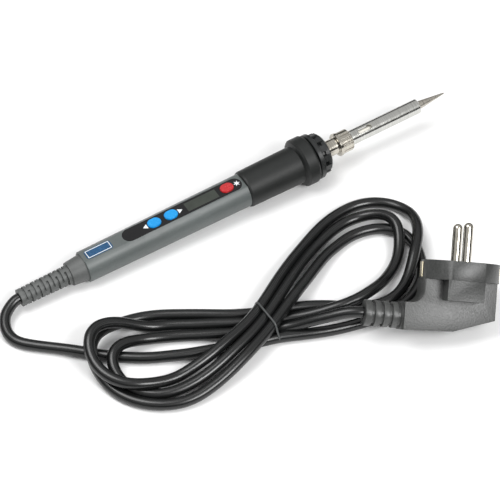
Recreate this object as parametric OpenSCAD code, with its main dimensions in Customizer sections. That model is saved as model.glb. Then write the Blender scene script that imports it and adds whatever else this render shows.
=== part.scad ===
// Mains soldering iron with a display in the handle, its cord tied in a bundle, and its plug.
// The iron's own pieces are drawn along X from the tail of the strain relief, with Z square to
// the flat of the handle; on_rest() then tilts the iron onto its grip flange and handle end.
// Millimetres throughout.

/* [Handle] */
// Length of the handle between strain relief and grip
handle_len = 92.4; // [85:0.1:105]
// Radius of the handle at its rear end
handle_r_rear = 8.15; // [7.9:0.05:8.4]
// Radius of the handle where it meets the grip
handle_r_front = 8.9; // [8.7:0.05:9.4]
// Height of the handle's flat above the axis
flat_h = 7.4; // [7.3:0.05:7.6]
// Radius of the bore inside the handle
handle_bore_r = 6.3; // [6.2:0.05:6.5]

/* [Control panel] */
// Length of the black panel
panel_len = 68.3; // [66:0.1:74]
// Width of the black panel
panel_w = 8; // [7.6:0.1:8.6]
// Thickness of the black panel
panel_t = 0.5; // [0.45:0.05:0.6]
// Length of a button along the handle
button_l = 7.2; // [6:0.1:8]
// Width of a button across the handle
button_w = 5.8; // [5:0.1:6]
// How far a button goes down
button_travel = 0.4; // [0.2:0.05:0.4]
// Length of the display window
window_len = 18; // [14:0.1:19]
// Width of the display window
window_w = 5.8; // [5:0.1:6]

/* [Grip and nose] */
// Length of the grip in front of the handle, flange included
grip_len = 39.9; // [38:0.1:48]
// Radius of the grip at its rear edge
grip_r_rear = 9.75; // [9.6:0.05:10.4]
// Radius of the grip behind its flange
grip_r_front = 10.15; // [10:0.05:11]
// Radius of the flange that keeps the fingers off the hot end
flange_r = 12.95; // [12:0.05:14]
// Radius of the nose's front disc
disc_r = 10.3; // [9.8:0.05:11]
// Number of slots round the nose
nose_slots = 12; // [8:1:16]

/* [Hot end] */
// Radius of the steel sleeve
sleeve_r = 4; // [3.9:0.05:4.1]
// Length of the sleeve seen in front of the nut
sleeve_len = 43.1; // [38:0.1:55]
// Wall of the sleeve
sleeve_wall = 0.55; // [0.4:0.05:0.6]
// Radius of the tip's shank
shank_r = 3.25; // [3.1:0.05:3.3]
// Length of the tip seen in front of the sleeve
tip_len = 16.9; // [12:0.1:30]
// Radius of the heating rod
heater_r = 1.95; // [1.8:0.05:2]
// Radius of the ferrule's thread
thread_r = 4.8; // [4.75:0.05:4.9]
// Travel of the nut along its thread
thread_travel = 5; // [3:0.5:6]

/* [Cord and plug] */
// Outer diameter of the cord
cord_d = 5.6; // [5:0.1:5.6]
// Diameter of the plug's round head
head_d = 38; // [37:0.5:39]
// Diameter of a plug pin
pin_d = 4.8; // [4:0.1:4.8]
// Length of a plug pin
pin_len = 19; // [18.5:0.5:19.5]
// Distance between the plug pins' centres
pin_gap = 19; // [19:0.5:19.5]

/* [Hidden] */
$fn = 64;
e = 0.01;                                // cut past a face, so that no skin is left
clear = 0.15;                            // gap round a button
slip = 0.1;                              // radial gap of a running fit

// Stations along the axis, counted from the strain relief's tail
boot_rib_len = 27.4;
boot_cone_len = 8;
handle_x0 = boot_rib_len + boot_cone_len;
handle_x1 = handle_x0 + handle_len;
flange_t = 8.2;
grip_x1 = handle_x1 + grip_len;
flange_x = grip_x1 - flange_t + 1.7;     // rear end of the flange's rim
spigot_x1 = grip_x1 - 9.7;
nose_x1 = grip_x1 + 8.6;
nut_x0 = nose_x1 + 7.7;
thread_x1 = nut_x0 + thread_travel - 1;
sleeve_flange_t = 1.2;
nut_wall_x0 = thread_x1 + 1.3;
nut_x1 = nut_wall_x0 + 2.9;
sleeve_x0 = thread_x1 + 0.05;
sleeve_x1 = nut_x1 + sleeve_len;
tip_x1 = sleeve_x1 + tip_len;

// Strain relief
boot_r_tail = 4.5;
boot_r_ribs = 5;
boot_neck_r = 5;
boot_hole_r = 5;
rib_count = 11;
rib_cut = 1.1;
rib_depth = 0.9;
clamp_wall = 1.5;                        // crimp ring round the cord

// Inside of the handle
rear_wall = 2;
spigot_r = 8;
pocket_w = 8.6;                          // flat pocket under the panel
pocket_top = 6.3;
panel_seat = flat_h - 0.4;               // floor of the recess that holds the panel
panel_x1 = handle_x1 - 1;
panel_x0 = panel_x1 - panel_len;
button_down_x = panel_x0 + 17.9;
button_up_x = button_down_x + 9.6;
button_power_x = panel_x1 - 8.3;
window_x = panel_x1 - 23.1;              // middle of the display window
board_t = 1;
board_top = 2.6;
board_x0 = panel_x0 - 8;
board_x1 = panel_x1 - 3;
board_w = 11.2;
rail_in = 5.2;
rail_z0 = 0.6;
board_under = board_top - board_t;

// Buttons, from the board upwards
switch_side = 6;
switch_top = 5;
stem_r = 1.6;
stem_z0 = 4.2;
stem_hole_z0 = stem_z0 - button_travel - 0.2;
cap_flange_z0 = switch_top + button_travel + 0.1;
cap_flange_t = 0.6;
cap_flange_grow = 1;
cap_top = flat_h + 0.75;

// Grip and nose
grip_bore_r = spigot_r;
nose_neck_r = spigot_r;
tongue_r = handle_bore_r;
tongue_bore_r = 5.3;
tongue_len = 10;
ring_r = 12.3;
ring_x0 = grip_x1 + 0.6;
ring_t = 2.7;
tooth_r = 10.9;
tooth_w = 3.2;
disc_t = 2.7;
nose_wall = 4.6;                         // front wall that the ferrule passes through
nose_cavity_r = thread_r + 2.4;
nose_screw_x = spigot_x1 - 4.6;
ferrule_body_r = thread_r - 0.4;
ferrule_bore_r = 3.75;
ferrule_flange_r = thread_r + 2.2;
ferrule_flange_t = 1.5;
ferrule_flange_x1 = nose_x1 - nose_wall;
ferrule_screw_ring = thread_r + 0.95;
nut_r = thread_r + 1;
nut_ring_r = thread_r + 1.45;
nut_ring_t = 1.5;
sleeve_flange_r = thread_r - slip;
sleeve_front_t = 1;
sleeve_seat = 0.2;                       // the sleeve is this much slimmer inside the nut
tip_neck_r = 2.3;
tip_point_r = 0.4;
shank_x0 = sleeve_x1 - 26;
heater_x0 = ferrule_flange_x1 - 22;
heater_x1 = shank_x0 + 19.7;
collar_x0 = ferrule_flange_x1 - 2;
collar_x1 = thread_x1 - 1;

// Rest: the iron stands on the handle's rear edge and on the flange
tilt = atan((flange_r - handle_r_rear) / (flange_x - handle_x0));
rest_z = handle_r_rear * cos(tilt) - handle_x0 * sin(tilt);
middle_x = (tip_x1 * cos(tilt) - boot_r_tail * sin(tilt)) / 2;

// Plug, from the middle of its face: x towards the cord, z along the pins
plug_at = [60.5, -106, 26.4];
plug_turn = [51, -10, 151];
head_t = 9.2;
head_flat = 17.5;
slab_half = 8;
slab_far = -16.8;
slab_near = 18.6;
slab_bend = 6;
neck_edge = 0.4;
neck_r = 6.3;
neck_z = -27.7;
neck_x0 = 27.8;
neck_x1 = 46;
neck_cut = 1.6;
pin_root = 12;

// The cord lies in three stretches: the lead from the strain relief, the tied bundle, and the end
// that goes into the plug. Points are in the part's own frame.
lead_route = [
    [-131, -1, 6], [-136, -4, 5], [-139, -9, 4], [-140, -15, 3], [-138, -21, 3],
    [-133, -26, 3], [-127, -31, 3], [-121, -36, 3], [-114, -42, 3]
];
end_route = [[-12, -89, 11], [-6, -93, 14], [0, -96.5, 17]];

// The bundle's two open lobes: each is drawn tight round these circles and the waist at the tie,
// as [x, y, radius], and is as wide as three turns of cord
left_lobe = [[-91, -64, 29]];
right_lobe = [[44, -57, 28], [20, -73, 28], [38, -76, 23]];
waist_r = 12;
tie_half = waist_r + 2;
lobe_band = 3 * cord_d;
bundle_h = 11.4;
tie_x = -30.5;
tie_y = -74.5;
tie_w = 2;
tie_t = 0.8;
cord_sides = 8;

// ---- helpers ----

// Stands the iron on its flange and its handle's rear edge, with the origin under its middle
module on_rest() translate([-middle_x, 0, rest_z]) rotate([0, -tilt, 0]) children();

// A turned piece: outline points are [station, radius]
module turned(outline) rotate([90, 0, 90]) rotate_extrude() polygon([for (p = outline) [p[1], p[0]]]);

// A rod along X between two stations
module rod(x0, x1, r) translate([x0, 0, 0]) rotate([0, 90, 0]) cylinder(r = r, h = x1 - x0);

// A flat bar with round ends along X, its middle at the origin, standing on z = 0
module stadium(l, w, h) {
    cube_l = l - w;
    translate([-cube_l / 2, -w / 2, 0]) cube([cube_l, w, h]);
    for (side = [-1, 1]) translate([side * cube_l / 2, 0, 0]) cylinder(r = w / 2, h = h);
}

// A box with its middle on the axis in y, given its two stations and two heights
module bar(x0, x1, w, z0, z1) translate([x0, -w / 2, z0]) cube([x1 - x0, w, z1 - z0]);

// A round rod between two points
module strut(a, b, r) {
    d = b - a;
    translate(a) rotate([0, acos(d[2] / norm(d)), atan2(d[1], d[0])]) cylinder(r = r, h = norm(d), $fn = 24);
}

// A wire through a list of points, with a slightly larger ball at each bend
module wire(points, r) {
    for (i = [0 : len(points) - 2]) strut(points[i], points[i + 1], r);
    for (i = [1 : len(points) - 2]) translate(points[i]) sphere(r = 1.03 * r, $fn = 24);
}

// ---- rear end ----

module boot() color([0.52, 0.54, 0.55]) on_rest() difference() {
    turned([[0, 0], [0, boot_r_tail], [boot_rib_len, boot_r_ribs], [boot_rib_len, 6.15],
        [handle_x0, 6.95], [handle_x0, boot_neck_r], [handle_x0 + rear_wall, boot_neck_r],
        [handle_x0 + rear_wall, handle_bore_r - 0.1], [handle_x0 + rear_wall + 2, handle_bore_r - 0.1],
        [handle_x0 + rear_wall + 2, 0]]);
    rod(-1, handle_x0 + 9, cord_d / 2);
    for (i = [1 : rib_count - 1]) {
        x = i * boot_rib_len / rib_count - rib_cut / 2;
        difference() {
            rod(x, x + rib_cut, 8);
            rod(x - 1, x + rib_cut + 1, boot_r_tail - rib_depth);
            // Two webs in each groove keep the ribs together; they turn by a quarter from rib to rib
            rotate([i % 2 * 90, 0, 0]) translate([x - 1, -1.2, -9]) cube([rib_cut + 2, 2.4, 18]);
        }
    }
}

module cord_end() color([0.16, 0.16, 0.17]) on_rest() rod(0, handle_x0 + rear_wall + 9, cord_d / 2);

module cord_clamp() color([0.7, 0.7, 0.7]) on_rest() difference() {
    x0 = handle_x0 + rear_wall + 2;
    rod(x0, x0 + 5, cord_d / 2 + clamp_wall);
    rod(x0 - 1, x0 + 6, cord_d / 2);
}

module supply_core(y) {
    x0 = handle_x0 + rear_wall + 9;
    z1 = board_top - board_t / 2;
    on_rest() wire([[x0, y / 3, 1], [x0 + 1, y / 3, 1], [board_x0 - 1, y, z1], [board_x0, y, z1]], 0.7);
}

module live_core() color([0.45, 0.28, 0.16]) supply_core(3);

module neutral_core() color([0.2, 0.35, 0.7]) supply_core(-3);

// ---- handle ----

module handle_shell() color([0.43, 0.45, 0.45]) on_rest() difference() {
    union() {
        difference() {
            turned([[handle_x0, 0], [handle_x0, handle_r_rear - 0.3], [handle_x0 + 0.3, handle_r_rear],
                [handle_x1, handle_r_front], [handle_x1, spigot_r], [spigot_x1, spigot_r], [spigot_x1, 0]]);
            turned([[handle_x0 + rear_wall, 0], [handle_x0 + rear_wall, handle_bore_r],
                [spigot_x1 + e, handle_bore_r], [spigot_x1 + e, 0]]);
            rod(handle_x0 - 1, handle_x0 + rear_wall + 1, boot_hole_r);
        }
        // Rails that carry the board
        intersection() {
            rod(board_x0 - 2, board_x1 + 2, handle_bore_r + 0.4);
            for (side = [-1, 1]) translate([board_x0 - 2, side > 0 ? rail_in : -9, rail_z0])
                cube([board_x1 - board_x0 + 4, 9 - rail_in, board_under - rail_z0]);
        }
    }
    // Flat along the top, in front of the rear edge and up to the grip
    bar(handle_x0 - 1, handle_x1, 30, flat_h, flat_h + 9);
    // Recess for the panel, and the pocket under it
    translate([panel_x0 + panel_len / 2, 0, panel_seat]) stadium(panel_len + 0.1, panel_w + 0.1, 2);
    bar(panel_x0 + 12, panel_x1 - 1.5, pocket_w, 0, pocket_top);
    for (x = [button_down_x, button_up_x, button_power_x]) translate([x, 0, 0])
        stadium(button_l + 2 * clear, button_w + 2 * clear, flat_h);
    bar(window_x - window_len / 2, window_x + window_len / 2, window_w, 0, flat_h);
    for (side = [-1, 1]) translate([nose_screw_x, 0, 0]) rotate([side * 90, 0, 0]) cylinder(r = 0.8, h = 12);
}

module badge() color([0.1, 0.25, 0.5]) on_rest()
    translate([handle_x0 + 9.3, 0, flat_h]) intersection() {
        bar(-7.2, 7.2, 5.4, 0, 0.3);
        stadium(15.4, 7, 0.3);
    }

module panel() color([0.06, 0.06, 0.07]) on_rest() difference() {
    translate([panel_x0 + panel_len / 2, 0, panel_seat]) stadium(panel_len, panel_w, panel_t);
    for (x = [button_down_x, button_up_x, button_power_x]) translate([x, 0, 0])
        stadium(button_l + 2 * clear, button_w + 2 * clear, 9);
    bar(window_x - window_len / 2, window_x + window_len / 2, window_w, 0, 9);
}

module display_window() color([0.3, 0.33, 0.28]) on_rest()
    bar(window_x - window_len / 2, window_x + window_len / 2, window_w, pocket_top, panel_seat + panel_t - 0.1);

module display_glass() color([0.45, 0.5, 0.4]) on_rest()
    bar(window_x - window_len / 2 - 0.6, window_x + window_len / 2 + 0.6, pocket_w - 1.2, 4.6, pocket_top);

module display_frame() color([0.85, 0.85, 0.82]) on_rest()
    bar(window_x - window_len / 2 - 0.9, window_x + window_len / 2 + 0.9, pocket_w - 0.8, board_top, 4.6);

module button_cap(x) on_rest() translate([x, 0, 0]) {
    translate([0, 0, cap_flange_z0]) stadium(button_l + cap_flange_grow, button_w + cap_flange_grow, cap_flange_t);
    translate([0, 0, cap_flange_z0]) stadium(button_l, button_w, cap_top - cap_flange_z0 - 0.3);
    translate([0, 0, cap_top - 0.3]) stadium(button_l - 0.5, button_w - 0.5, 0.3);
    translate([0, 0, stem_z0]) cylinder(r = stem_r, h = cap_flange_z0 - stem_z0 + 0.1);
}

module button_down() color([0.12, 0.6, 0.9]) button_cap(button_down_x);

module button_up() color([0.12, 0.6, 0.9]) button_cap(button_up_x);

module button_power() color([0.85, 0.2, 0.22]) button_cap(button_power_x);

module switch_body(x) on_rest() difference() {
    translate([x - switch_side / 2, -switch_side / 2, board_top])
        cube([switch_side, switch_side, switch_top - board_top]);
    translate([x, 0, stem_hole_z0]) cylinder(r = stem_r + slip, h = 5);
}

module switch_down() color([0.2, 0.2, 0.2]) switch_body(button_down_x);

module switch_up() color([0.2, 0.2, 0.2]) switch_body(button_up_x);

module switch_power() color([0.2, 0.2, 0.2]) switch_body(button_power_x);

module circuit_board() color([0.1, 0.35, 0.2]) on_rest()
    bar(board_x0, board_x1, board_w, board_under, board_top);

module controller_chip() color([0.12, 0.12, 0.13]) on_rest() {
    x = window_x - 6;
    bar(x - 5, x + 5, 5, board_under - 1.8, board_under - 0.2);
    for (i = [-3.5 : 1 : 3.5], side = [-1, 1])
        translate([x + i * 1.27 - 0.2, side > 0 ? 2.5 : -3.5, board_under - 0.9]) cube([0.4, 1, 0.9]);
}

module triac() color([0.15, 0.15, 0.16]) on_rest() {
    x = panel_x0 + 14.5;
    bar(x, x + 9, 9.6, board_under - 4.5, board_under - 0.2);
    bar(x + 9, x + 15, 9.6, board_under - 4.5, board_under - 3.2);
    for (y = [-2.54, 0, 2.54]) translate([x - 3, y - 0.4, board_under - 2.4]) cube([3, 0.8, 0.5]);
    for (y = [-2.54, 0, 2.54]) translate([x - 3, y - 0.4, board_under - 2.4]) cube([0.5, 0.8, 2.4]);
}

module filter_capacitor() color([0.75, 0.6, 0.15]) on_rest() {
    x = board_x0 + 1;
    bar(x, x + 13, 5, board_under - 6, board_under);
}

module board_resistors() color([0.75, 0.7, 0.55]) on_rest()
    for (x = [window_x + 8, window_x + 12.5]) {
        translate([x, -3, board_under - 1.5]) rotate([-90, 0, 0]) cylinder(r = 1.1, h = 6, $fn = 32);
        for (y = [-3.8, 3.4]) translate([x - 0.25, y, board_under - 1.75]) cube([0.5, 0.6, 1.75]);
        for (y = [-3.4, 2.9]) translate([x - 0.25, y, board_under - 1.75]) cube([0.5, 0.6, 0.5]);
    }

// ---- grip and nose ----

module grip() color([0.15, 0.16, 0.16]) on_rest() difference() {
    turned([[handle_x1, 0], [handle_x1, grip_r_rear - 1.2], [handle_x1 + 0.35, grip_r_rear - 0.35],
        [handle_x1 + 1.2, grip_r_rear], [flange_x - 1.8, grip_r_front], [flange_x - 1, flange_r - 0.9],
        [flange_x, flange_r], [grip_x1 - 1.2, flange_r], [grip_x1 - 0.3, flange_r - 0.5],
        [grip_x1, flange_r - 1.4], [grip_x1, 0]]);
    rod(handle_x1 - 1, grip_x1 + 1, grip_bore_r);
}

module nose() color([0.13, 0.14, 0.14]) on_rest() difference() {
    union() {
        turned([[spigot_x1 - tongue_len, 0], [spigot_x1 - tongue_len, tongue_r], [spigot_x1, tongue_r],
            [spigot_x1, nose_neck_r], [grip_x1, nose_neck_r], [grip_x1, ring_r - 3], [ring_x0, ring_r - 1.2],
            [ring_x0, ring_r - 0.3], [ring_x0 + 0.3, ring_r], [ring_x0 + ring_t - 0.4, ring_r],
            [ring_x0 + ring_t, ring_r - 0.6], [ring_x0 + ring_t, disc_r - 1.6],
            [nose_x1 - disc_t, disc_r - 1.6], [nose_x1 - disc_t, disc_r - 0.2],
            [nose_x1 - 0.7, disc_r - 0.2], [nose_x1, disc_r - 1], [nose_x1, 0]]);
        for (i = [0 : nose_slots - 1]) rotate([i * 360 / nose_slots, 0, 0])
            translate([ring_x0 + ring_t - 0.2, -tooth_w / 2, 0])
                cube([nose_x1 - disc_t - ring_x0 - ring_t + 1.4, tooth_w, tooth_r]);
    }
    turned([[spigot_x1 - tongue_len - 1, 0], [spigot_x1 - tongue_len - 1, tongue_bore_r], [spigot_x1 + 1, tongue_bore_r],
        [spigot_x1 + 3, nose_cavity_r], [ferrule_flange_x1, nose_cavity_r], [ferrule_flange_x1, 0]]);
    rod(ferrule_flange_x1 - 1, nose_x1 + 1, thread_r + 0.1);
    for (i = [0 : 2]) rotate([i * 120, 0, 0]) translate([ferrule_flange_x1 - e, 0, ferrule_screw_ring])
        rotate([0, 90, 0]) cylinder(r = 0.6, h = 3.2);
    for (side = [-1, 1]) translate([nose_screw_x, 0, 0]) rotate([side * 90, 0, 0]) cylinder(r = 0.8, h = 12);
}

module nose_screws() color([0.7, 0.7, 0.7]) on_rest()
    for (side = [-1, 1]) translate([nose_screw_x, 0, 0]) rotate([side * 90, 0, 0])
        translate([0, 0, tongue_bore_r]) cylinder(r = 0.8, h = spigot_r - tongue_bore_r - 0.2);

// ---- hot end ----

module ferrule() color([0.75, 0.73, 0.68]) on_rest() difference() {
    turned([[ferrule_flange_x1 - ferrule_flange_t, 0], [ferrule_flange_x1 - ferrule_flange_t, ferrule_flange_r],
        [ferrule_flange_x1, ferrule_flange_r], [ferrule_flange_x1, thread_r], [nose_x1 + 0.6, thread_r],
        [nose_x1 + 0.6, ferrule_body_r], [nut_x0 - 0.4, ferrule_body_r], [nut_x0, thread_r],
        [thread_x1, thread_r], [thread_x1, 0]]);
    rod(ferrule_flange_x1 - 3, thread_x1 + 1, ferrule_bore_r);
    for (i = [0 : 2]) rotate([i * 120, 0, 0]) translate([ferrule_flange_x1 - 3, 0, ferrule_screw_ring])
        rotate([0, 90, 0]) cylinder(r = 0.6, h = 4);
}

module ferrule_screws() color([0.75, 0.75, 0.75]) on_rest()
    for (i = [0 : 2]) rotate([i * 120, 0, 0]) translate([0, 0, ferrule_screw_ring]) {
        back = ferrule_flange_x1 - ferrule_flange_t - (i == 0 ? 0.4 : 0);
        rod(back, ferrule_flange_x1 + 3, 0.6);
        rod(back - 0.7, back, 1.1);
    }

module earth_lug() color([0.8, 0.7, 0.4]) on_rest() difference() {
    union() {
        x = ferrule_flange_x1 - ferrule_flange_t - 0.4;
        translate([x, 0, ferrule_screw_ring]) rotate([0, 90, 0]) cylinder(r = 1.4, h = 0.4);
        translate([x, -0.6, 4.1]) cube([0.4, 1.2, 0.8]);
        translate([x - 2, -0.6, 4.1]) cube([2.4, 1.2, 0.4]);
    }
    translate([0, 0, ferrule_screw_ring]) rod(ferrule_flange_x1 - 4, ferrule_flange_x1, 0.6);
}

module earth_core() color([0.5, 0.65, 0.2]) on_rest() {
    x0 = handle_x0 + rear_wall + 9;
    lug_x = ferrule_flange_x1 - ferrule_flange_t - 2.4;
    swept([[x0, 0, -1.4], [x0 + 1, 0, -1.6], [x0 + 4, 0, -5.1], [x0 + 6, 0, -5.3], [board_x1 + 3, 0, -5.3],
        [spigot_x1 - tongue_len - 4, 0, -4.4], [spigot_x1 - 4, 2.9, -2.6], [spigot_x1, 3.9, 0],
        [spigot_x1 + 3, 3.8, 2], [lug_x - 2, 2, 4], [lug_x, 0.1, 4.3]], 0.5, 8);
}

module heater_collar() color([0.93, 0.92, 0.88]) on_rest() difference() {
    rod(collar_x0, collar_x1, ferrule_bore_r);
    rod(collar_x0 - 1, collar_x1 + 1, heater_r);
}

module heater_rod() color([0.95, 0.94, 0.9]) on_rest() rod(heater_x0, heater_x1, heater_r);

module heater_leads() color([0.85, 0.85, 0.8]) on_rest()
    for (i = [-1.5 : 1 : 1.5]) {
        z = board_top + 0.5;
        swept([[board_x1 - 2, i * 2.4, z], [board_x1 + 5, i * 2.4, z], [heater_x0 - 3, i, 0], [heater_x0, i, 0]],
            0.4, 8);
    }

module nut() color([0.8, 0.78, 0.72]) on_rest() difference() {
    turned([[nut_x0, 0], [nut_x0, nut_ring_r - 0.3], [nut_x0 + 0.3, nut_ring_r],
        [nut_x0 + nut_ring_t, nut_ring_r], [nut_x0 + nut_ring_t, nut_r],
        [nut_x1 - 0.5, nut_r], [nut_x1, nut_r - 0.5], [nut_x1, 0]]);
    rod(nut_x0 - 1, nut_wall_x0, thread_r + slip);
    rod(nut_x0, nut_x1 + 1, sleeve_r + slip);
    // Flutes that give the fingers a hold
    for (i = [0 : 11]) rotate([i * 30, 0, 0]) translate([nut_x0 + nut_ring_t + 0.3, 0, nut_r + 0.55])
        rotate([0, 90, 0]) cylinder(r = 1, h = 20, $fn = 24);
}

module sleeve() color([0.82, 0.82, 0.82]) on_rest() difference() {
    turned([[sleeve_x0, 0], [sleeve_x0, sleeve_flange_r], [sleeve_x0 + sleeve_flange_t, sleeve_flange_r],
        [sleeve_x0 + sleeve_flange_t, sleeve_r - sleeve_seat], [nut_x1 + 0.3, sleeve_r - sleeve_seat],
        [nut_x1 + 0.3, sleeve_r], [sleeve_x1 - 0.4, sleeve_r],
        [sleeve_x1, sleeve_r - 0.4], [sleeve_x1, 0]]);
    rod(sleeve_x0 - 1, sleeve_x1 - sleeve_front_t, sleeve_r - sleeve_wall);
    rod(sleeve_x1 - 2, sleeve_x1 + 1, tip_neck_r + 0.2);
    // Vent slots with round ends
    for (i = [0 : 2]) rotate([i * 120 + 20, 0, 0]) translate([nut_x1 + 9, 0, 0])
        translate([0, 0, 1]) stadium(8.4, 2.8, 6);
}

module tip() color([0.72, 0.7, 0.68]) on_rest() difference() {
    turned([[shank_x0, 0], [shank_x0, shank_r], [sleeve_x1 - sleeve_front_t - 0.1, shank_r],
        [sleeve_x1 - sleeve_front_t - 0.1, tip_neck_r], [sleeve_x1 + 1.6, tip_neck_r - 0.1],
        [tip_x1 - 0.3, tip_point_r], [tip_x1, tip_point_r - 0.2], [tip_x1, 0]]);
    rod(shank_x0 - 1, shank_x0 + 21.2, heater_r + slip);
}

// ---- cord and plug ----

// A tube with flat sides along a list of points
module swept(points, r, sides) {
    n = len(points);
    dirs = [for (i = [0 : n - 1]) let (d = points[min(i + 1, n - 1)] - points[max(i - 1, 0)]) d / norm(d)];
    rings = [for (i = [0 : n - 1])
        let (side = cross(dirs[i], [0, 0, 1]), u = side / norm(side), v = cross(u, dirs[i]))
        for (k = [0 : sides - 1]) points[i] + r * (cos(k * 360 / sides) * u + sin(k * 360 / sides) * v)];
    walls = [for (i = [0 : n - 2], k = [0 : sides - 1]) let (j = (k + 1) % sides)
        [i * sides + k, (i + 1) * sides + k, (i + 1) * sides + j, i * sides + j]];
    ends = [[for (k = [0 : sides - 1]) k], [for (k = [sides - 1 : -1 : 0]) (n - 1) * sides + k]];
    polyhedron(points = rings, faces = concat(walls, ends), convexity = 10);
}

module cord_lead() color([0.16, 0.16, 0.17]) {
    tail = [-middle_x, 0, rest_z];
    behind = tail - 2 * [cos(tilt), 0, sin(tilt)];
    swept(concat([tail, behind], lead_route), cord_d / 2, cord_sides);
}

module lobe_outline(places) hull() {
    for (p = places) translate([p[0], p[1]]) circle(r = p[2], $fn = 40);
    translate([tie_x, tie_y]) circle(r = waist_r, $fn = 40);
}

// The outer shape of the tied bundle, with a seat under the waist for the tie
module cord_bundle() color([0.18, 0.18, 0.19]) difference() {
    linear_extrude(bundle_h) difference() {
        union() {
            lobe_outline(left_lobe);
            lobe_outline(right_lobe);
        }
        offset(delta = -lobe_band) lobe_outline(left_lobe);
        offset(delta = -lobe_band) lobe_outline(right_lobe);
    }
    translate([tie_x - tie_w / 2, tie_y - 2 * waist_r, -1]) cube([tie_w, 4 * waist_r, 1 + tie_t]);
}

module cord_to_plug() color([0.16, 0.16, 0.17]) {
    neck_end = on_plug_point([neck_x1 - 6, 0, neck_z]);
    neck_out = on_plug_point([neck_x1 + 3, 0, neck_z]);
    swept(concat(end_route, [neck_out, neck_end]), cord_d / 2, cord_sides);
}

module cord_tie() color([0.3, 0.31, 0.31]) translate([tie_x, tie_y, 0]) difference() {
    translate([-tie_w / 2, -tie_half - tie_t, 0]) cube([tie_w, 2 * (tie_half + tie_t), bundle_h + tie_t]);
    translate([-tie_w, -tie_half, tie_t]) cube([2 * tie_w, 2 * tie_half, bundle_h - tie_t]);
}

// Places a piece of the plug, drawn from the middle of its face
module on_plug() translate(plug_at) rotate(plug_turn) children();

// Where a point of the plug comes to lie in the part's own frame
function turn_x(p, a) = [p[0], p[1] * cos(a) - p[2] * sin(a), p[1] * sin(a) + p[2] * cos(a)];
function turn_y(p, a) = [p[0] * cos(a) + p[2] * sin(a), p[1], p[2] * cos(a) - p[0] * sin(a)];
function turn_z(p, a) = [p[0] * cos(a) - p[1] * sin(a), p[0] * sin(a) + p[1] * cos(a), p[2]];
function on_plug_point(p) =
    plug_at + turn_z(turn_y(turn_x(p, plug_turn[0]), plug_turn[1]), plug_turn[2]);

module plug_body() color([0.36, 0.37, 0.37]) on_plug() difference() {
    union() {
        intersection() {
            translate([0, 0, -head_t]) cylinder(r = head_d / 2, h = head_t);
            translate([-head_d / 2, -head_flat, -head_t]) cube([head_d, 2 * head_flat, head_t]);
        }
        // The flat body below the head, with a hollow bend down to the neck
        rotate([90, 0, 0]) translate([0, 0, -slab_half]) linear_extrude(2 * slab_half) polygon(concat(
            [[slab_far, -head_t], [slab_far, -27], [3.6, -33.6], [neck_x0, neck_z - neck_r - neck_edge],
                [neck_x0, neck_z + neck_r + neck_edge]],
            [for (a = [0 : 15 : 90]) [slab_near + slab_bend * (1 - sin(a)),
                neck_z + neck_r + neck_edge + slab_bend * (1 - cos(a))]],
            [[slab_near, -head_t]]));
        translate([-8.2, slab_half - 1, -19]) cube([18, head_flat - slab_half + 0.6, 10]);
        translate([-8.2, -head_flat + 0.4, -19]) cube([18, head_flat - slab_half + 0.6, 10]);
        translate([neck_x0 - 1, 0, neck_z]) rotate([0, 90, 0]) cylinder(r = neck_r, h = neck_x1 - neck_x0 + 1);
    }
    for (side = [-1, 1]) translate([0, side * pin_gap / 2, -pin_root]) cylinder(r = pin_d / 2 - 0.4, h = 20);
    // Grooves round the neck
    for (i = [0 : 3]) translate([neck_x0 + 0.6 + i * 4.3, 0, neck_z]) rotate([0, 90, 0]) difference() {
        cylinder(r = neck_r + 3, h = neck_cut);
        translate([0, 0, -1]) cylinder(r = neck_r - 1.4, h = neck_cut + 2);
    }
    translate([neck_x1 - 8, 0, neck_z]) rotate([0, 90, 0]) cylinder(r = cord_d / 2, h = 20);
}

module plug_pin(side) on_plug() translate([0, side * pin_gap / 2, 0]) {
    translate([0, 0, -pin_root]) cylinder(r = pin_d / 2 - 0.4, h = pin_root + 1);
    cylinder(r = pin_d / 2, h = pin_len - pin_d / 2);
    translate([0, 0, pin_len - pin_d / 2]) sphere(r = pin_d / 2);
}

module plug_pin_live() color([0.85, 0.84, 0.8]) plug_pin(-1);

module plug_pin_neutral() color([0.85, 0.84, 0.8]) plug_pin(1);

module plug_earth_clips() color([0.8, 0.75, 0.6]) on_plug()
    for (side = [-1, 1]) translate([side > 0 ? head_d / 2 : -head_d / 2 - 0.4, -2, -head_t + 1]) cube([0.4, 4, head_t - 2]);

boot();
cord_end();
cord_clamp();
handle_shell();
badge();
panel();
display_window();
display_glass();
display_frame();
button_down();
button_up();
button_power();
switch_down();
switch_up();
switch_power();
circuit_board();
controller_chip();
triac();
filter_capacitor();
board_resistors();
live_core();
neutral_core();
earth_core();
grip();
nose();
nose_screws();
ferrule();
ferrule_screws();
earth_lug();
heater_collar();
heater_rod();
heater_leads();
nut();
sleeve();
tip();
cord_lead();
cord_bundle();
cord_to_plug();
cord_tie();
plug_body();
plug_pin_live();
plug_pin_neutral();
plug_earth_clips();
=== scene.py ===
"""Looks of a mains soldering iron with a display in its handle, a tied cord and an angled plug.

Lengths are in millimetres in the part's own frame until a mesh is made: +X runs towards the tip,
+Z is up, and the table is z = 0.  The iron's own places are given as stations, counted from the
tail of its strain relief along the tilted axis; the plug's are given from the middle of its face.
"""

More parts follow.
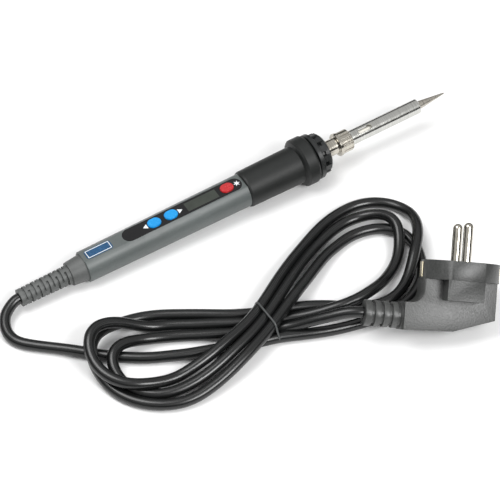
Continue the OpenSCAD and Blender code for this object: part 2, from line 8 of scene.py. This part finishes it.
import bmesh
import bpy
import numpy as np
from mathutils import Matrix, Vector


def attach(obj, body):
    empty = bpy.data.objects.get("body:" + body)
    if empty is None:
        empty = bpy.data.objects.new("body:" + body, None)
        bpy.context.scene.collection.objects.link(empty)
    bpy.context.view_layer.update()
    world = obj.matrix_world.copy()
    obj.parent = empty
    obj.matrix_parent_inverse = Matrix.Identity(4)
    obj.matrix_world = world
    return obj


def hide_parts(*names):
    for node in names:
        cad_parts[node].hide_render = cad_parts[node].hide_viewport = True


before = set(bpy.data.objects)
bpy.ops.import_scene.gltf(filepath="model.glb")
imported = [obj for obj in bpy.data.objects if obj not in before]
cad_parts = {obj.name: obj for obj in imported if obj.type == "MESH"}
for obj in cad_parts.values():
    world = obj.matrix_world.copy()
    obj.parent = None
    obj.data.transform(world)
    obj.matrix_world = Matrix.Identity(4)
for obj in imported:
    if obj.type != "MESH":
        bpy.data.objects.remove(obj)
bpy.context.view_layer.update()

MM = 0.001

# Stations and heights of the iron, as in the part's source
HANDLE_START = 35.4
HANDLE_REAR_RADIUS = 8.15
FLANGE_REAR = 161.2
FLANGE_RADIUS = 12.95
BOOT_TAIL_RADIUS = 4.5
TIP_END = 252.2
FLAT_HEIGHT = 7.4
PANEL_FACE = 7.5
BADGE_MIDDLE = 44.7
BADGE_TOP = FLAT_HEIGHT + 0.3

TILT = np.arctan((FLANGE_RADIUS - HANDLE_REAR_RADIUS) / (FLANGE_REAR - HANDLE_START))
REST_HEIGHT = HANDLE_REAR_RADIUS * np.cos(TILT) - HANDLE_START * np.sin(TILT)
MIDDLE = (TIP_END * np.cos(TILT) - BOOT_TAIL_RADIUS * np.sin(TILT)) / 2
AXIS = np.array([np.cos(TILT), 0, np.sin(TILT)])

# The plug: the middle of its face, and its turns about X, Y and Z
PLUG_AT = np.array([60.5, -106, 26.4])
PLUG_TURNS = np.radians([51, -10, 151])
NECK_AXIS_HEIGHT = -27.7
NECK_END = 46

# The cord, and the tie round its bundle
CORD_RADIUS = 2.8
TIE_AT = -30
TIE_RADIUS = 0.55
CORD_SIDES = 20
CORD_STEPS = 6          # points of the smooth line for each chosen point
IN_PLUG = 4             # how far the cord's end reaches into the plug's neck
BEFORE_PLUG = 3         # where the cord is already in line with the neck

# The control panel's marks
MARK_HALF_WIDTH = 1.5
DOWN_MARK, UP_MARK = (70.0, 72.4), (92.6, 90.2)     # point and base of each triangle
STAR_AT, STAR_OUTER, STAR_INNER, STAR_POINTS = 124.3, 1.9, 0.75, 6
BADGE_HALF_LENGTH, BADGE_HALF_WIDTH, BADGE_LINE = 6.5, 2.35, 0.35
INK_BELOW, INK_ABOVE = 0.02, 0.03
PLUG_EDGE_RADIUS = 0.5


def on_iron(points):
    """Turns points of the iron's own drawing by the tilt about Y and lifts them to where it rests."""
    x, y, z = np.asarray(points, float).T
    return np.stack([x * np.cos(TILT) - z * np.sin(TILT) - MIDDLE, y,
                     x * np.sin(TILT) + z * np.cos(TILT) + REST_HEIGHT], axis=1)


def plug_matrix():
    """The plug's turn: about X, then about Y, then about Z."""
    (cx, cy, cz), (sx, sy, sz) = np.cos(PLUG_TURNS), np.sin(PLUG_TURNS)
    about_x = np.array([[1, 0, 0], [0, cx, -sx], [0, sx, cx]])
    about_y = np.array([[cy, 0, sy], [0, 1, 0], [-sy, 0, cy]])
    about_z = np.array([[cz, -sz, 0], [sz, cz, 0], [0, 0, 1]])
    return about_z @ about_y @ about_x


def on_plug(points):
    """Turns and moves points of the plug's own drawing to where it lies."""
    return np.asarray(points, float) @ plug_matrix().T + PLUG_AT


# ---- camera ----

camera = bpy.data.objects.new("camera", bpy.data.cameras.new("camera"))
bpy.context.collection.objects.link(camera)
camera.location = Vector((-0.3266, -0.5457, 0.7231))
look_at = Vector((-0.0108, -0.0275, 0.0))
camera.rotation_euler = (look_at - camera.location).to_track_quat("-Z", "Y").to_euler()
camera.data.sensor_width = 36
camera.data.lens = 134.9
camera.data.clip_start = 0.05
bpy.context.scene.camera = camera


# ---- meshes ----

def new_piece(name, points, faces, uv=None):
    """A mesh object at the origin from points in millimetres; uv has one pair for each face corner."""
    mesh = bpy.data.meshes.new(name)
    mesh.from_pydata((np.asarray(points) * MM).tolist(), [], faces)
    if uv is not None:
        layer = mesh.uv_layers.new(name="along")
        layer.data.foreach_set("uv", np.asarray(uv, float).ravel())
    mesh.update()
    piece = bpy.data.objects.new(name, mesh)
    bpy.context.collection.objects.link(piece)
    return piece


def smooth_line(points, steps):
    """Uniform cubic B-spline through the neighbourhood of the points: each span is the weighted mean
    of four points with the weights (1-t)^3, 3t^3-6t^2+4, -3t^3+3t^2+3t+1 and t^3, over 6.
    The line starts and ends at the first and last point."""
    p = np.asarray(points, float)
    p = np.vstack([2 * p[0] - p[1], p, 2 * p[-1] - p[-2]])
    t = np.linspace(0, 1, steps, endpoint=False)[:, None, None]
    spans = ((1 - t) ** 3 * p[:-3] + (3 * t**3 - 6 * t**2 + 4) * p[1:-2]
             + (-3 * t**3 + 3 * t**2 + 3 * t + 1) * p[2:-1] + t**3 * p[3:]) / 6
    line = spans.transpose(1, 0, 2).reshape(-1, 3)
    return np.vstack([line, p[-2]])


def tube(name, path, radius, sides, closed=False, across=(0, 0, 1)):
    """A round tube: at each point of the path, radius * (cos a * u + sin a * v), where u is square to
    the path and to the direction across, and v is square to both. An open tube has a fan at each end."""
    ahead = np.roll(path, -1, axis=0) - np.roll(path, 1, axis=0)
    if not closed:
        ahead[0], ahead[-1] = path[1] - path[0], path[-1] - path[-2]
    ahead /= np.linalg.norm(ahead, axis=1)[:, None]
    u = np.cross(ahead, across)
    u /= np.linalg.norm(u, axis=1)[:, None]
    v = np.cross(u, ahead)
    turn = np.linspace(0, 2 * np.pi, sides, endpoint=False)
    rings = path[:, None] + radius * (np.cos(turn)[None, :, None] * u[:, None]
                                      + np.sin(turn)[None, :, None] * v[:, None])
    count = len(path)
    i, k = np.meshgrid(np.arange(count if closed else count - 1), np.arange(sides), indexing="ij")
    j, n = (i + 1) % count, (k + 1) % sides
    faces = np.stack([i * sides + k, j * sides + k, j * sides + n, i * sides + n], -1).reshape(-1, 4)
    run = np.concatenate([[0], np.cumsum(np.linalg.norm(np.diff(path, axis=0), axis=1))])
    run = np.append(run, run[-1])
    round_at, length_at = np.stack([k, k, k + 1, k + 1], -1) / sides, np.stack(
        [run[i], run[i + 1], run[i + 1], run[i]], -1) * MM
    uv = np.stack([round_at, length_at], -1).reshape(-1, 2)
    points = rings.reshape(-1, 3)
    faces = faces.tolist()
    if not closed:
        faces += [list(range(sides)), list(range((count - 1) * sides, count * sides))[::-1]]
        uv = np.vstack([uv, np.zeros((2 * sides, 2))])
    mesh = bpy.data.meshes.new(name)
    mesh.from_pydata((points * MM).tolist(), [], faces)
    mesh.uv_layers.new(name="along").data.foreach_set("uv", uv.ravel())
    mesh.polygons.foreach_set("use_smooth", np.ones(len(faces), bool))
    mesh.update()
    piece = bpy.data.objects.new(name, mesh)
    bpy.context.collection.objects.link(piece)
    recalculate(piece)
    return piece


def recalculate(piece):
    """Turns every face outwards."""
    bm = bmesh.new()
    bm.from_mesh(piece.data)
    bmesh.ops.recalc_face_normals(bm, faces=bm.faces)
    bm.to_mesh(piece.data)
    bm.free()


def print_on(name, outlines, base, top, place):
    """Flat prints: each outline (x, y) becomes a closed plate from height base to height top."""
    points, faces = [], []
    for outline in outlines:
        n, start = len(outline), len(points)
        points += [(x, y, base) for x, y in outline] + [(x, y, top) for x, y in outline]
        faces += [[start + i for i in range(n)][::-1], [start + n + i for i in range(n)]]
        after = [(i + 1) % n for i in range(n)]
        faces += [[start + i, start + after[i], start + n + after[i], start + n + i] for i in range(n)]
    piece = new_piece(name, place(points), faces)
    recalculate(piece)
    return piece


# ---- cord ----

# The free lead, from the strain relief to the bundle, as in the part's source
LEAD = [(-131, -1, 6), (-136, -4, 5), (-139, -9, 4), (-140, -15, 3), (-138, -21, 3), (-133, -26, 3),
        (-127, -31, 3), (-121, -36, 3), (-114, -42, 3)]
LEAD_IN_LOBE = [(-107, -49, 3), (-98, -56, 3), (-89, -62, 3), (-80, -66, 3), (-71, -70, 3), (-62, -73, 3),
                (-51, -77, 3), (-41, -81, 3)]
# Seven passes cross at the tie; each turn is a right lobe and a left lobe
FIRST_RIGHT = [(-30, -83, 3), (-17, -89, 3), (-4, -94, 3), (8, -97, 3), (20, -99, 3), (31, -99, 3),
               (41, -97, 3), (50, -91, 3), (56, -83, 3), (60, -74, 3), (61, -66, 3), (59, -58, 3),
               (53, -52, 3), (45, -49, 3), (36, -48, 3), (27, -50, 3), (16, -54, 5), (3, -62, 7),
               (-14, -71, 9)]
FIRST_LEFT = [(-30, -80, 9), (-41, -85, 9), (-52, -89, 8), (-63, -92, 6), (-75, -94, 4), (-86, -94, 3),
              (-96, -90, 3), (-104, -84, 3), (-110, -76, 3), (-113, -67, 3), (-114, -58, 5),
              (-113, -49, 8), (-108, -42, 9), (-100, -38, 7), (-91, -37, 4), (-81, -38, 3), (-71, -42, 3),
              (-61, -48, 3), (-51, -54, 3), (-42, -60, 3)]
SECOND_RIGHT = [(-30, -66, 3), (-18, -70, 3), (-6, -75, 3), (4, -81, 3), (13, -88, 3), (22, -92, 3),
                (31, -93, 3), (40, -90, 3), (48, -84, 5), (55, -77, 9), (62, -70, 9), (67, -62, 8),
                (70, -53, 5), (68, -44, 3), (62, -37, 3), (52, -32, 3), (39, -32, 3), (26, -35, 3),
                (12, -42, 4), (-2, -50, 7), (-16, -59, 9)]
SECOND_LEFT = [(-30, -68, 9), (-41, -73, 9), (-52, -76, 9), (-63, -79, 8), (-74, -80, 6), (-84, -80, 4),
               (-93, -79, 6), (-101, -77, 8), (-108, -73, 9), (-113, -66, 10), (-115, -58, 11),
               (-114, -50, 13), (-110, -43, 15), (-103, -40, 15), (-94, -41, 12), (-86, -44, 7),
               (-78, -47, 3), (-70, -50, 3), (-60, -56, 3), (-50, -61, 3), (-40, -67, 3)]
THIRD_RIGHT = [(-30, -72, 3), (-18, -77, 3), (-7, -82, 5), (3, -86, 8), (12, -88, 9), (21, -87, 9),
               (30, -84, 6), (39, -79, 3), (47, -74, 3), (53, -67, 5), (57, -60, 8), (58, -53, 9),
               (55, -46, 7), (49, -41, 4), (41, -39, 3), (31, -40, 3), (20, -44, 3), (8, -50, 5),
               (-4, -58, 8), (-17, -66, 9)]
THIRD_LEFT = [(-30, -74, 9), (-41, -79, 9), (-54, -83, 8), (-66, -86, 6), (-78, -87, 4), (-89, -86, 3),
              (-98, -82, 3), (-104, -75, 3), (-107, -67, 4), (-107, -59, 7), (-103, -53, 9),
              (-95, -51, 8), (-85, -52, 4), (-76, -55, 3), (-66, -60, 3), (-55, -66, 3), (-43, -72, 3)]
INTO_PLUG = [(-30, -77, 3), (-24, -81, 4), (-18, -85, 7), (-12, -89, 11), (-6, -93, 14), (0, -96.5, 17)]

tail = on_iron([(0, 0, 0)])[0]
cord_points = np.vstack([[tail, tail - 2 * AXIS], LEAD, LEAD_IN_LOBE, FIRST_RIGHT, FIRST_LEFT,
                         SECOND_RIGHT, SECOND_LEFT, THIRD_RIGHT, THIRD_LEFT, INTO_PLUG,
                         on_plug([(NECK_END + BEFORE_PLUG, 0, NECK_AXIS_HEIGHT),
                                  (NECK_END, 0, NECK_AXIS_HEIGHT),
                                  (NECK_END - IN_PLUG, 0, NECK_AXIS_HEIGHT)])])
cord_path = smooth_line(cord_points, CORD_STEPS)
cord = tube("cord", cord_path, CORD_RADIUS, CORD_SIDES)

# The tie: a thin round band drawn tight over the outer strands of both layers
corners = np.array([(-83, 3.1), (-66, 3.1), (-68, 9.2), (-80, 9.2)])
spans = np.roll(corners, -1, axis=0) - corners
outward = np.stack([spans[:, 1], -spans[:, 0]], 1) / np.linalg.norm(spans, axis=1)[:, None]
before = np.arctan2(*np.roll(outward, 1, axis=0).T[::-1])
turned = (np.arctan2(*outward.T[::-1]) - before) % (2 * np.pi)
sweep = before[:, None] + turned[:, None] * np.linspace(0, 1, 10)
round_corner = np.stack([np.cos(sweep), np.sin(sweep)], -1)
loop = (corners[:, None] + (CORD_RADIUS + 0.2) * round_corner).reshape(-1, 2)
loop[:, 1] = np.maximum(loop[:, 1], TIE_RADIUS)
tie = tube("tie", np.column_stack([np.full(len(loop), TIE_AT) - 0.03 * (loop[:, 0] + 74), loop]),
           TIE_RADIUS, 10, closed=True, across=(1, 0, 0))


# ---- materials ----

def linear(hex_colour):
    """sRGB hex to linear red, green, blue and alpha."""
    srgb = np.array([int(hex_colour[i:i + 2], 16) for i in (1, 3, 5)]) / 255
    value = np.where(srgb <= 0.04045, srgb / 12.92, ((srgb + 0.055) / 1.055) ** 2.4)
    return (*value.tolist(), 1.0)


def add(tree, kind, inputs=(), **settings):
    """Adds a node; inputs are (socket, value or output to link) pairs."""
    node = tree.nodes.new("ShaderNode" + kind)
    for name, value in settings.items():
        setattr(node, name, value)
    for socket, value in inputs:
        if isinstance(value, bpy.types.NodeSocket):
            tree.links.new(value, node.inputs[socket])
        else:
            node.inputs[socket].default_value = value
    return node


def new_material(name):
    """An empty material with its shader and its object coordinates."""
    material = bpy.data.materials.new(name)
    material.use_nodes = True
    tree = material.node_tree
    shader = tree.nodes["Principled BSDF"]
    return material, tree, shader, add(tree, "TexCoord").outputs["Object"]


def moulded(name, light, dark, roughness, grain, depth, ior=1.5, coat=0.0, mottle=15.0):
    """Moulded plastic or rubber: the colour drifts between dark and light over mottle mm, and a
    grain of that many mm stands depth mm high and roughens the surface a little."""
    material, tree, shader, where = new_material(name)
    drift = add(tree, "TexNoise", [("Vector", where), ("Scale", 1000 / mottle), ("Detail", 4.0)])
    speck = add(tree, "TexNoise", [("Vector", where), ("Scale", 1000 / grain), ("Detail", 2.0)])
    both = add(tree, "Math", [(0, drift.outputs["Fac"]), (1, speck.outputs["Fac"])], operation="ADD")
    ramp = add(tree, "ValToRGB", [("Fac", add(tree, "Math", [(0, both.outputs[0]), (1, 0.5)],
                                             operation="MULTIPLY").outputs[0])])
    ramp.color_ramp.elements[0].position, ramp.color_ramp.elements[1].position = 0.35, 0.65
    ramp.color_ramp.elements[0].color, ramp.color_ramp.elements[1].color = linear(dark), linear(light)
    rough = add(tree, "MapRange", [("Value", speck.outputs["Fac"]), ("From Min", 0.3), ("From Max", 0.7),
                                   ("To Min", roughness - 0.05), ("To Max", roughness + 0.05)])
    bump = add(tree, "Bump", [("Height", speck.outputs["Fac"]), ("Distance", depth * MM), ("Strength", 1.0)])
    tree.links.new(ramp.outputs["Color"], shader.inputs["Base Color"])
    tree.links.new(rough.outputs["Result"], shader.inputs["Roughness"])
    tree.links.new(bump.outputs["Normal"], shader.inputs["Normal"])
    shader.inputs["IOR"].default_value = ior
    shader.inputs["Coat Weight"].default_value = coat
    shader.inputs["Coat Roughness"].default_value = 0.08
    return material


def turned_metal(name, light, dark, roughness, line, depth):
    """Metal turned on a lathe: fine lines round the iron's axis, line mm apart and depth mm deep, and
    colour and gloss that drift with them."""
    material, tree, shader, where = new_material(name)
    level = add(tree, "Mapping", [("Vector", where), ("Rotation", (0, TILT, 0)),
                                  ("Scale", (1000 / line, 40, 40))])
    lines = add(tree, "TexNoise", [("Vector", level.outputs["Vector"]), ("Scale", 1.0), ("Detail", 3.0)])
    ramp = add(tree, "ValToRGB", [("Fac", lines.outputs["Fac"])])
    ramp.color_ramp.elements[0].position, ramp.color_ramp.elements[1].position = 0.3, 0.7
    ramp.color_ramp.elements[0].color, ramp.color_ramp.elements[1].color = linear(dark), linear(light)
    rough = add(tree, "MapRange", [("Value", lines.outputs["Fac"]), ("From Min", 0.3), ("From Max", 0.7),
                                   ("To Min", roughness - 0.05), ("To Max", roughness + 0.07)])
    bump = add(tree, "Bump", [("Height", lines.outputs["Fac"]), ("Distance", depth * MM), ("Strength", 1.0)])
    tree.links.new(ramp.outputs["Color"], shader.inputs["Base Color"])
    tree.links.new(rough.outputs["Result"], shader.inputs["Roughness"])
    tree.links.new(bump.outputs["Normal"], shader.inputs["Normal"])
    shader.inputs["Metallic"].default_value = 1.0
    return material


def extruded(name, light, dark, roughness):
    """Extruded flexible PVC: faint draw lines run along the cord, 0.4 mm apart, under a glossy skin."""
    material, tree, shader, _ = new_material(name)
    uv = add(tree, "UVMap", uv_map="along")
    stretch = add(tree, "Mapping", [("Vector", uv.outputs["UV"]), ("Scale", (44, 60, 1))])
    lines = add(tree, "TexNoise", [("Vector", stretch.outputs["Vector"]), ("Scale", 1.0), ("Detail", 2.0)])
    ramp = add(tree, "ValToRGB", [("Fac", lines.outputs["Fac"])])
    ramp.color_ramp.elements[0].color, ramp.color_ramp.elements[1].color = linear(dark), linear(light)
    rough = add(tree, "MapRange", [("Value", lines.outputs["Fac"]), ("From Min", 0.3), ("From Max", 0.7),
                                   ("To Min", roughness - 0.04), ("To Max", roughness + 0.06)])
    bump = add(tree, "Bump", [("Height", lines.outputs["Fac"]), ("Distance", 0.02 * MM), ("Strength", 0.6)])
    tree.links.new(ramp.outputs["Color"], shader.inputs["Base Color"])
    tree.links.new(rough.outputs["Result"], shader.inputs["Roughness"])
    tree.links.new(bump.outputs["Normal"], shader.inputs["Normal"])
    shader.inputs["IOR"].default_value = 1.53
    return material


# Satin ABS from a spark-eroded mould: a fine matt grain that softens the highlight.  Soft PVC and
# silicone are matt and a little coarser; glass-filled nylon has a faint sheen.
HOUSING = moulded("housing_abs_satin", "#5f6564", "#535857", 0.42, 0.5, 0.02)
BOOT_PVC = moulded("boot_soft_pvc", "#5d5f5e", "#505251", 0.5, 0.7, 0.03, ior=1.53)
GRIP_RUBBER = moulded("grip_silicone", "#1f2120", "#171918", 0.5, 0.5, 0.03, ior=1.43)
NYLON = moulded("nose_glass_filled_nylon", "#1f2121", "#161818", 0.36, 0.6, 0.03, ior=1.53)
# Printed film and glossy ABS: smooth, with a clear highlight and hardly any grain
PANEL_GLOSS = moulded("panel_gloss_film", "#0d0d0f", "#09090b", 0.14, 3.0, 0.004)
BADGE_PRINT = moulded("badge_printed_film", "#1e5078", "#163f60", 0.25, 1.5, 0.004, coat=0.2)
WHITE_INK = moulded("white_ink", "#e9eef0", "#d8dddf", 0.4, 0.4, 0.004)
BUTTON_BLUE = moulded("button_blue_abs", "#0b98dd", "#0789cf", 0.25, 1.2, 0.006, coat=0.3)
BUTTON_RED = moulded("button_red_abs", "#bf2a2e", "#ab2226", 0.25, 1.2, 0.006, coat=0.3)
DARK_ABS = moulded("switch_black_abs", "#242424", "#1a1a1a", 0.45, 0.4, 0.01)
WHITE_ABS = moulded("display_frame_white_abs", "#dededa", "#cfcfca", 0.45, 0.5, 0.01)
# Inside the handle: lacquered board, matt epoxy, dipped parts and smooth wire covers
SOLDER_MASK = moulded("board_solder_mask", "#155c34", "#0e4527", 0.3, 0.8, 0.01)
EPOXY = moulded("chip_moulded_epoxy", "#202022", "#161618", 0.5, 0.3, 0.01)
FILM_CAP = moulded("capacitor_dipped_epoxy", "#c79a2c", "#ad8320", 0.3, 1.5, 0.02)
RESISTOR = moulded("resistor_dipped_paint", "#cdbf97", "#b8a97f", 0.35, 0.6, 0.01)
BROWN_WIRE = moulded("core_brown_pvc", "#5a3a22", "#4a2d18", 0.4, 0.4, 0.01)
BLUE_WIRE = moulded("core_blue_pvc", "#2a5fa8", "#1f4d8e", 0.4, 0.4, 0.01)
GREEN_WIRE = moulded("core_green_yellow_pvc", "#8fae2e", "#3f7f30", 0.4, 3.0, 0.01)
CERAMIC = moulded("heater_alumina_ceramic", "#f0eee6", "#e2dfd4", 0.55, 0.4, 0.01, ior=1.76)
GLASS_SLEEVE = moulded("lead_glass_sleeve", "#d8d6c8", "#bfbcab", 0.8, 0.3, 0.04)
TIE_PVC = moulded("tie_pvc", "#4a4c4c", "#3c3e3e", 0.4, 0.5, 0.02, ior=1.53)
DISPLAY = moulded("display_liquid_crystal", "#4a4e4a", "#393c39", 0.15, 4.0, 0.003, coat=0.5)
# The plug is dark PVC from a textured mould, and its flat side takes a broad sheen
PLUG_PVC = moulded("plug_textured_pvc", "#474847", "#333433", 0.38, 0.8, 0.09, ior=1.53, mottle=40.0)
# Turned metals: bright nickel, zinc and polished stainless steel give sharp streaks, and the
# iron plate of the tip and tinned brass duller ones
NICKEL = turned_metal("bright_nickel_plate", "#d2cdc2", "#b4afa4", 0.14, 0.5, 0.004)
ZINC = turned_metal("zinc_plated_steel", "#c3c5c6", "#a9abac", 0.3, 0.4, 0.004)
STAINLESS = turned_metal("sleeve_polished_stainless", "#d8d8d4", "#bdbdb8", 0.18, 0.35, 0.003)
TIP_PLATE = turned_metal("tip_iron_plate", "#cfcabf", "#a5a098", 0.3, 0.3, 0.006)
BRASS = turned_metal("lug_tinned_brass", "#a8a08c", "#8e8672", 0.35, 0.5, 0.004)
CORD_PVC = extruded("cord_extruded_pvc", "#141515", "#0e0f0f", 0.26)

# Acrylic in front of an unlit display, drawn as one opaque glossy face in the cell's green-grey
WINDOW = moulded("window_acrylic_over_display", "#3a3f39", "#30342f", 0.1, 5.0, 0.002, ior=1.49)

LOOKS = {
    "boot": BOOT_PVC, "cord_end": NYLON, "cord_clamp": ZINC, "handle_shell": HOUSING,
    "badge": BADGE_PRINT, "panel": PANEL_GLOSS, "display_window": WINDOW, "display_glass": DISPLAY,
    "display_frame": WHITE_ABS, "button_down": BUTTON_BLUE, "button_up": BUTTON_BLUE,
    "button_power": BUTTON_RED, "switch_down": DARK_ABS, "switch_up": DARK_ABS,
    "switch_power": DARK_ABS, "circuit_board": SOLDER_MASK, "controller_chip": EPOXY,
    "triac": EPOXY, "filter_capacitor": FILM_CAP, "board_resistors": RESISTOR,
    "live_core": BROWN_WIRE, "neutral_core": BLUE_WIRE, "earth_core": GREEN_WIRE,
    "grip": GRIP_RUBBER, "nose": NYLON, "nose_screws": ZINC, "ferrule": NICKEL,
    "ferrule_screws": ZINC, "earth_lug": BRASS, "heater_collar": CERAMIC, "heater_rod": CERAMIC,
    "heater_leads": GLASS_SLEEVE, "nut": NICKEL, "sleeve": STAINLESS, "tip": TIP_PLATE,
    "plug_pin_live": NICKEL, "plug_pin_neutral": NICKEL, "plug_earth_clips": BRASS,
}
for node, material in LOOKS.items():
    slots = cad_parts[node].material_slots
    if not slots:
        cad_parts[node].data.materials.append(material)
    for slot in slots:
        slot.material = material


# ---- plug ----

def softened(name, node, radius, material):
    """A copy of a CAD node with its doubles merged and its flat faces joined, so that its sharp
    edges can be rounded by that radius."""
    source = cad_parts[node]
    copy = bpy.data.objects.new(name, source.data.copy())
    bpy.context.collection.objects.link(copy)
    bm = bmesh.new()
    bm.from_mesh(copy.data)
    bmesh.ops.remove_doubles(bm, verts=bm.verts, dist=0.00001)
    bmesh.ops.dissolve_limit(bm, angle_limit=np.radians(1), verts=bm.verts, edges=bm.edges)
    bmesh.ops.recalc_face_normals(bm, faces=bm.faces)
    for face in bm.faces:
        face.smooth = True
    bm.to_mesh(copy.data)
    bm.free()
    copy.data.materials.clear()
    copy.data.materials.append(material)
    bevel = copy.modifiers.new("rounded edges", "BEVEL")
    bevel.width, bevel.segments, bevel.limit_method = radius * MM, 3, "ANGLE"
    bevel.angle_limit = np.radians(35)
    bevel.use_clamp_overlap = True
    bevel.harden_normals = True
    return copy


plug = softened("plug", "plug_body", PLUG_EDGE_RADIUS, PLUG_PVC)
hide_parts("plug_body")
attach(plug, "handle")

cord.data.materials.append(CORD_PVC)
tie.data.materials.append(TIE_PVC)
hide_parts("cord_lead", "cord_bundle", "cord_to_plug")
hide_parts("cord_tie")
for piece, slot in ((cord, "black_pvc"), (tie, "tie_plastic")):
    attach(piece, "handle")


# ---- prints ----

def star(x, y, outer, inner, points):
    """Outline of a star: the radius changes between outer and inner from corner to corner."""
    turn = np.arange(2 * points) * np.pi / points
    radius = np.where(np.arange(2 * points) % 2 == 0, outer, inner)
    return np.stack([x + radius * np.cos(turn), y + radius * np.sin(turn)], 1).tolist()


marks = print_on("panel_marks", [
    [(DOWN_MARK[0], 0.0), (DOWN_MARK[1], -MARK_HALF_WIDTH), (DOWN_MARK[1], MARK_HALF_WIDTH)],
    [(UP_MARK[0], 0.0), (UP_MARK[1], MARK_HALF_WIDTH), (UP_MARK[1], -MARK_HALF_WIDTH)],
    star(STAR_AT, 0, STAR_OUTER, STAR_INNER, STAR_POINTS),
], PANEL_FACE - INK_BELOW, PANEL_FACE + INK_ABOVE, on_iron)
half_x, half_y, line = BADGE_HALF_LENGTH, BADGE_HALF_WIDTH, BADGE_LINE
border = print_on("badge_border", [
    [(BADGE_MIDDLE - half_x, side * half_y), (BADGE_MIDDLE + half_x, side * half_y),
     (BADGE_MIDDLE + half_x, side * (half_y - line)), (BADGE_MIDDLE - half_x, side * (half_y - line))]
    for side in (-1, 1)] + [
    [(BADGE_MIDDLE + side * half_x, -half_y + line), (BADGE_MIDDLE + side * half_x, half_y - line),
     (BADGE_MIDDLE + side * (half_x - line), half_y - line),
     (BADGE_MIDDLE + side * (half_x - line), -half_y + line)]
    for side in (-1, 1)], BADGE_TOP - INK_BELOW, BADGE_TOP + INK_ABOVE, on_iron)
for piece in (marks, border):
    piece.data.materials.append(WHITE_INK)
    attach(piece, "handle")

# ---- floor and light ----

floor = new_piece("floor", [(-3000, -3000, 0), (3000, -3000, 0), (3000, 3000, 0), (-3000, 3000, 0)],
                  [[0, 1, 2, 3]])
FLOOR, floor_tree, floor_shader, _ = new_material("pale_paper")
floor_shader.inputs["Base Color"].default_value = linear("#f6f6f6")
floor_shader.inputs["Roughness"].default_value = 0.9
floor.data.materials.append(FLOOR)

world = bpy.data.worlds.new("studio")
bpy.context.scene.world = world
world.use_nodes = True
# A dim wall round the table under a white ceiling gives the bright metal its dark streaks
sky = world.node_tree
up = add(sky, "SeparateXYZ", [("Vector", add(sky, "TexCoord").outputs["Generated"])]).outputs["Z"]
wall = add(sky, "ValToRGB", [("Fac", up)])
wall.color_ramp.elements[0].position, wall.color_ramp.elements[1].position = 0.3, 0.6
wall.color_ramp.elements[0].color, wall.color_ramp.elements[1].color = linear("#404040"), linear("#ffffff")
sky.links.new(wall.outputs["Color"], sky.nodes["Background"].inputs["Color"])
sky.nodes["Background"].inputs["Strength"].default_value = 0.62
bpy.context.scene.view_settings.view_transform = "Standard"


def soft_box(name, place, power, size):
    """A square lamp that faces the middle of the object."""
    lamp = bpy.data.objects.new(name, bpy.data.lights.new(name, "AREA"))
    bpy.context.collection.objects.link(lamp)
    lamp.data.energy, lamp.data.size = power, size
    lamp.location = Vector(place)
    lamp.rotation_euler = (look_at - lamp.location).to_track_quat("-Z", "Y").to_euler()


soft_box("key", (-0.35, 0.15, 1.0), 6.5, 0.6)
soft_box("front", (0.13, -0.75, 0.68), 6.5, 0.4)
